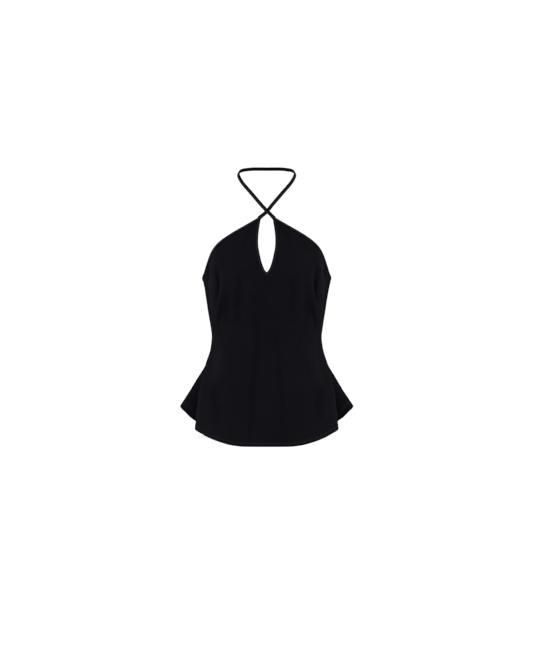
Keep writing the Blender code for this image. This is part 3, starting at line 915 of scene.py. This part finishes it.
def keyhole_strip(strap):
    """The binding of the left half of the keyhole, its end tucked under the strap."""
    under = strap.middle + strap.half[:, None] * strap.inward
    under = under[under[:, 0] > 0]
    edge = below_line(keyhole_edge(4 * KEYHOLE_STEPS), under)
    seam = below_line(keyhole_line(BINDING_WIDTH, 4 * KEYHOLE_STEPS), under)
    return binding_strip(evenly(edge, KEYHOLE_STEPS), evenly(seam, KEYHOLE_STEPS))


# --- Stitching ---


# place along a stitch, then width and height there, as shares of its length and of the thread
STITCH_PROFILE = (
    (-0.5, 0.0, -0.4), (-0.42, 0.75, -0.1), (-0.2, 1.0, 0.3),
    (0.2, 1.0, 0.3), (0.42, 0.75, -0.1), (0.5, 0.0, -0.4),
)


def stitch_frames(line, normals):
    """Middles of the stitches along a line, each with its three directions."""
    lengths = lengths_along(line)
    count = int(lengths[-1] / (STITCH_LENGTH + STITCH_GAP))
    places = (np.arange(count) + 0.5) * lengths[-1] / count
    along = unit(read_off(places, lengths, tangents_of(line)))
    up = unit(read_off(places, lengths, normals))
    return zip(read_off(places, lengths, line), along, unit(np.cross(along, up)), up)


def stitch_faces(start):
    """Faces of one stitch, its sides and its two ends, from the number of its first point."""
    last = start + THREAD_SIDES * (len(STITCH_PROFILE) - 1)
    faces = []
    for first in range(start, last, THREAD_SIDES):
        for j in range(THREAD_SIDES):
            a, b = first + j, first + (j + 1) % THREAD_SIDES
            faces.append([a, b, b + THREAD_SIDES, a + THREAD_SIDES])
    faces.append([start + j for j in range(THREAD_SIDES)])
    faces.append([last + j for j in range(THREAD_SIDES)])
    return faces


def stitch_rows(lines):
    """Points, faces and thread coordinates of stitches along lines that have outward normals."""
    ring = np.linspace(0, 2 * math.pi, THREAD_SIDES + 1)[:-1]
    points, faces, flat = [], [], []
    for line, normals in lines:
        for centre, x, y, z in stitch_frames(line, normals):
            faces += stitch_faces(len(points) * THREAD_SIDES)
            round_it = np.cos(ring)[:, None] * y + np.sin(ring)[:, None] * z
            for place, width, height in STITCH_PROFILE:
                middle = centre + place * STITCH_LENGTH * x + height * THREAD / 2 * z
                points.append(middle + max(width, THREAD_END) * THREAD / 2 * round_it)
                down = np.full(THREAD_SIDES, place * STITCH_LENGTH)
                flat.append(np.stack([ring * THREAD, down], axis=-1))
    return np.vstack(points), faces, np.vstack(flat)


def hem_stitch_lines(first_turn, last_turn):
    """The twin needle rows above the hem, between two turns."""
    lines = []
    for height in HEM_NEEDLES:
        turn = np.linspace(first_turn, last_turn, STITCH_SAMPLES)
        slope = hem_distance(turn, hem_drop(turn) - 1.0)
        drop = hem_drop(turn) - height / np.maximum(slope, LEAST_SLOPE)
        lines.append((cloth_point(turn, drop), cloth_normal(turn, drop)))
    return lines


def binding_stitch_line(strip, start, end):
    """The needle row along a binding, near its inner edge."""
    rise = (1 - BINDING_NEEDLE**RING_SQUARENESS) ** (1 / RING_SQUARENESS)
    across = (BINDING_NEEDLE * strip.half)[:, None] * strip.inward
    line = strip.middle + across + (rise * strip.thick / 2)[:, None] * strip.outward
    return line[start:end], strip.outward[start:end]


def both_sides(line, normals):
    """A row of stitching with its normals, and the same mirrored over the centre plane."""
    return [(line, normals), (line * (-1, 1, 1), normals * (-1, 1, 1))]


def stitches(name, lines):
    """One piece made of rows of stitches."""
    points, faces, flat = stitch_rows(lines)
    return add_piece(name, None, points, faces, flat, np.zeros(len(points)))


# --- Materials ---


def add_node(tree, kind, inputs=(), **settings):
    """Adds a node, sets what is named, and fills or links its inputs in order or by name."""
    node = tree.nodes.new(kind)
    for key, value in settings.items():
        setattr(node, key, value)
    for key, value in dict(inputs).items():
        if isinstance(value, bpy.types.NodeSocket):
            tree.links.new(value, node.inputs[key])
        else:
            node.inputs[key].default_value = value
    return node


def calculate(tree, operation, *values):
    """Output of a Math node."""
    return add_node(tree, "ShaderNodeMath", enumerate(values), operation=operation).outputs[0]


CLOUD_SCALE = 22.0   # of the uneven dye, in patches to the metre
FUZZ_SCALE = 1400.0  # of the fuzz
DYE_START = 0.32     # levels of the clouds at which the dye is darkest and lightest
DYE_END = 0.68
SMOOTHEST = 0.72     # roughness under the thinnest and the thickest fuzz
ROUGHEST = 0.94
RIB_RELIEF = 0.6     # share of the upright ribs in the relief of the knit
LEG_RELIEF = 0.25    # half the swing of the slanting legs
FUZZ_RELIEF = 0.5    # share of the fuzz
BUMP_STRENGTH = 0.55


def knit_height(tree, wale, course):
    """Relief of a plain jersey knit: upright wales made of slanting legs."""
    cloth = add_node(tree, "ShaderNodeUVMap", uv_map="cloth").outputs["UV"]
    parts = add_node(tree, "ShaderNodeSeparateXYZ", {"Vector": cloth})
    across = calculate(tree, "DIVIDE", parts.outputs["X"], wale * MILLIMETRE)
    down = calculate(tree, "DIVIDE", parts.outputs["Y"], course * MILLIMETRE)
    wave = calculate(tree, "SINE", calculate(tree, "MULTIPLY", across, math.pi))
    rib = calculate(tree, "ABSOLUTE", wave)
    slant = calculate(tree, "PINGPONG", across, 0.5)
    leg = calculate(tree, "MULTIPLY", calculate(tree, "ADD", down, slant), 2 * math.pi)
    leg = calculate(tree, "MULTIPLY_ADD", calculate(tree, "SINE", leg), LEG_RELIEF, 2 * LEG_RELIEF)
    return calculate(tree, "ADD", calculate(tree, "MULTIPLY", rib, RIB_RELIEF), leg)


def add_noise(tree, place, scale, detail, roughness):
    """Level of a noise texture over the cloth."""
    inputs = {"Vector": place, "Scale": scale, "Detail": detail, "Roughness": roughness}
    return add_node(tree, "ShaderNodeTexNoise", inputs).outputs["Fac"]


def blend(tree, share, colour, other):
    """A colour socket blended towards a fixed colour."""
    mix = add_node(tree, "ShaderNodeMix", {"Factor": share}, data_type="RGBA")
    tree.links.new(colour, mix.inputs["A"])
    mix.inputs["B"].default_value = (*other, 1.0)
    return mix.outputs["Result"]


class Finish(NamedTuple):
    """What a fabric looks like: its dyes, the colours of its painted highlight and painted shade,
    then its knit and its relief in millimetres.
    """

    dark: tuple
    light: tuple
    # the colours towards which the painted highlight and the painted shade blend
    painted_highlight: tuple
    deep: tuple
    wale: float
    course: float
    relief: float


# deep is the colour of each finish's painted shade
JERSEY = Finish(dark=(0.0043, 0.0042, 0.0057), light=(0.005, 0.0048, 0.0066),
                painted_highlight=(0.015, 0.0146, 0.017), deep=(0.001, 0.001, 0.0013),
                wale=0.8, course=0.62, relief=0.16)
TRIM = Finish(dark=(0.0034, 0.0032, 0.0046), light=(0.004, 0.0038, 0.0054),
              painted_highlight=(0.033, 0.0323, 0.0358), deep=(0.0008, 0.0007, 0.001),
              wale=0.62, course=0.8, relief=0.16)
THREADS = Finish(dark=(0.006, 0.0058, 0.0074), light=(0.007, 0.0068, 0.0086),
                 painted_highlight=(0.008, 0.0078, 0.0094), deep=(0.004, 0.004, 0.005),
                 wale=0.5, course=0.45, relief=0.10)


def dye_and_painted_shading(tree, finish, place, fuzz):
    """Uneven dye, with a painted highlight where the shading attribute is above 0 and painted shade
    where it is below.
    """
    cloudy = add_noise(tree, place, scale=CLOUD_SCALE, detail=5.0, roughness=0.6)
    dye = add_node(tree, "ShaderNodeValToRGB", {"Fac": cloudy})
    dye.color_ramp.elements[0].position = DYE_START
    dye.color_ramp.elements[0].color = (*finish.dark, 1.0)
    dye.color_ramp.elements[1].position = DYE_END
    dye.color_ramp.elements[1].color = (*finish.light, 1.0)
    # the point attribute holds painted light and shade: a painted highlight above 0 and painted
    # shade below
    painted_shading = add_node(tree, "ShaderNodeAttribute", attribute_name="painted_shading").outputs["Fac"]
    painted_highlight = calculate(tree, "MULTIPLY", calculate(tree, "MAXIMUM", painted_shading, 0.0), fuzz)
    painted_shade_share = calculate(tree, "MAXIMUM", calculate(tree, "MULTIPLY", painted_shading, -1.0), 0.0)
    lighter = blend(tree, painted_highlight, dye.outputs["Color"], finish.painted_highlight)
    return blend(tree, painted_shade_share, lighter, finish.deep)


def knit_normal(tree, finish, fuzz):
    """Shading normal of the knit and its fuzz."""
    knit = knit_height(tree, finish.wale, finish.course)
    height = calculate(tree, "MULTIPLY_ADD", fuzz, FUZZ_RELIEF, knit)
    depth = finish.relief * MILLIMETRE
    inputs = {"Strength": BUMP_STRENGTH, "Distance": depth, "Height": height}
    return add_node(tree, "ShaderNodeBump", inputs).outputs["Normal"]


def fabric(name, finish):
    """A matt knitted fabric, with no gloss of its own."""
    material = bpy.data.materials.new(name)
    material.use_nodes = True
    tree = material.node_tree
    shader = tree.nodes["Principled BSDF"]
    place = add_node(tree, "ShaderNodeTexCoord").outputs["Object"]
    fuzz = add_noise(tree, place, scale=FUZZ_SCALE, detail=3.0, roughness=0.7)
    range_of = {"Value": fuzz, "To Min": SMOOTHEST, "To Max": ROUGHEST}
    rough = add_node(tree, "ShaderNodeMapRange", range_of).outputs["Result"]
    tree.links.new(dye_and_painted_shading(tree, finish, place, fuzz), shader.inputs["Base Color"])
    tree.links.new(rough, shader.inputs["Roughness"])
    tree.links.new(knit_normal(tree, finish, fuzz), shader.inputs["Normal"])
    shader.inputs["Specular IOR Level"].default_value = 0.0
    return material


# --- Stage ---

CAMERA_DISTANCE = 3.0  # metres in front of the side plane
CAMERA_HEIGHT = -0.393
CAMERA_ACROSS = -0.0005
VIEW_WIDTH = 1.2526    # metres seen across at the side plane
SENSOR = 36.0
FLOOR_HEIGHT = -1.30
FLOOR_SIZE = 14.0
FLOOR_COLOUR = (0.99, 0.99, 0.99, 1.0)
FLOOR_ROUGHNESS = 0.9
WORLD_COLOUR = (1.0, 1.0, 1.0, 1.0)
WORLD_STRENGTH = 1.03


class Lamp(NamedTuple):
    """A soft studio light, in metres and watts, aimed at the middle of the top."""

    name: str
    place: tuple
    width: float
    height: float
    power: float


LAMPS = (
    Lamp(name="side_left", place=(2.7, -0.3, 0.0), width=1.0, height=2.2, power=42.0),
    Lamp(name="side_right", place=(-2.7, -0.3, 0.0), width=1.0, height=2.2, power=42.0),
    Lamp(name="top_front", place=(0.0, -1.3, 2.1), width=2.2, height=1.2, power=27.0),
)


def add_camera():
    """The photograph's camera: level, straight in front."""
    data = bpy.data.cameras.new("camera")
    data.sensor_fit = "HORIZONTAL"
    data.sensor_width = SENSOR
    data.lens = SENSOR * CAMERA_DISTANCE / VIEW_WIDTH
    camera = add_object("camera", data)
    depth = SIDE_PLANE * MILLIMETRE - CAMERA_DISTANCE
    camera.location = (CAMERA_ACROSS, depth, CAMERA_HEIGHT)
    camera.rotation_euler = (math.radians(90), 0.0, 0.0)
    bpy.context.scene.camera = camera


def add_lamps():
    """The soft lights."""
    middle = Vector((0.0, SIDE_PLANE * MILLIMETRE, CAMERA_HEIGHT))
    for lamp in LAMPS:
        data = bpy.data.lights.new(lamp.name, "AREA")
        data.shape = "RECTANGLE"
        data.size = lamp.width
        data.size_y = lamp.height
        data.energy = lamp.power
        light = add_object(lamp.name, data)
        light.location = lamp.place
        light.rotation_euler = (middle - light.location).to_track_quat("-Z", "Y").to_euler()
        light.visible_camera = False


def add_world():
    """White surroundings."""
    world = bpy.data.worlds.new("studio")
    world.use_nodes = True
    background = world.node_tree.nodes["Background"]
    background.inputs["Color"].default_value = WORLD_COLOUR
    background.inputs["Strength"].default_value = WORLD_STRENGTH
    bpy.context.scene.world = world
    bpy.context.scene.view_settings.view_transform = "Standard"


def add_floor():
    """A plain pale floor."""
    half = FLOOR_SIZE / 2
    mesh = bpy.data.meshes.new("floor")
    corners = ((-half, -half), (half, -half), (half, half), (-half, half))
    mesh.from_pydata([(x, y, FLOOR_HEIGHT) for x, y in corners], [], [(0, 1, 2, 3)])
    floor = add_object("floor", mesh)
    material = bpy.data.materials.new("floor")
    material.use_nodes = True
    shader = material.node_tree.nodes["Principled BSDF"]
    shader.inputs["Base Color"].default_value = FLOOR_COLOUR
    shader.inputs["Roughness"].default_value = FLOOR_ROUGHNESS
    mesh.materials.append(material)


# --- The top ---


def front_stitch_lines(armhole, keyhole):
    """Rows of stitching on the front: the hem, the armholes and the keyhole."""
    lines = hem_stitch_lines(-SEAM_TURN_HEM + 1, SEAM_TURN_HEM - 1)
    lines += both_sides(*binding_stitch_line(armhole, 1, EDGE_STEPS))
    return lines + both_sides(*binding_stitch_line(keyhole, 1, -1))


def back_stitch_lines(top):
    """Rows of stitching on the back: the hem and the top edge."""
    lines = hem_stitch_lines(SEAM_TURN_HEM + 1, 360 - SEAM_TURN_HEM - 1)
    return lines + both_sides(*binding_stitch_line(top, 1, None))


def main():
    """Builds the pieces, their fabrics and the stage."""
    jersey = fabric("black_jersey", JERSEY)
    trim = fabric("black_binding", TRIM)
    thread = fabric("black_thread", THREADS)

    front = panel("front_cloth", "front", *front_half())
    back = panel("back_cloth", "back", *back_half())
    lift = (STRAP_THICK + CROSSING_ROOM) / 2
    left = strap_strip(lift)
    right = strap_strip(-lift)
    strap_left = strip_piece("strap_left", "strap_binding_left", left)
    strap_right = strip_piece("strap_right", "strap_binding_right", right, mirrored=True)
    keyhole = keyhole_strip(left)
    keyhole_trim = strip_piece("keyhole_trim", "keyhole_binding", keyhole, halves=True)
    back_bound = back_strip()
    back_trim = strip_piece("back_trim", "back_binding", back_bound, halves=True)

    front_stitches = stitches("front_stitches", front_stitch_lines(left, keyhole))
    back_stitches = stitches("back_stitches", back_stitch_lines(back_bound))

    made_of = ((jersey, (front, back)), (thread, (front_stitches, back_stitches)),
               (trim, (strap_left, strap_right, keyhole_trim, back_trim)))
    for material, pieces in made_of:
        for piece in pieces:
            piece.data.materials.append(material)

    add_camera()
    add_lamps()
    add_world()
    add_floor()


main()
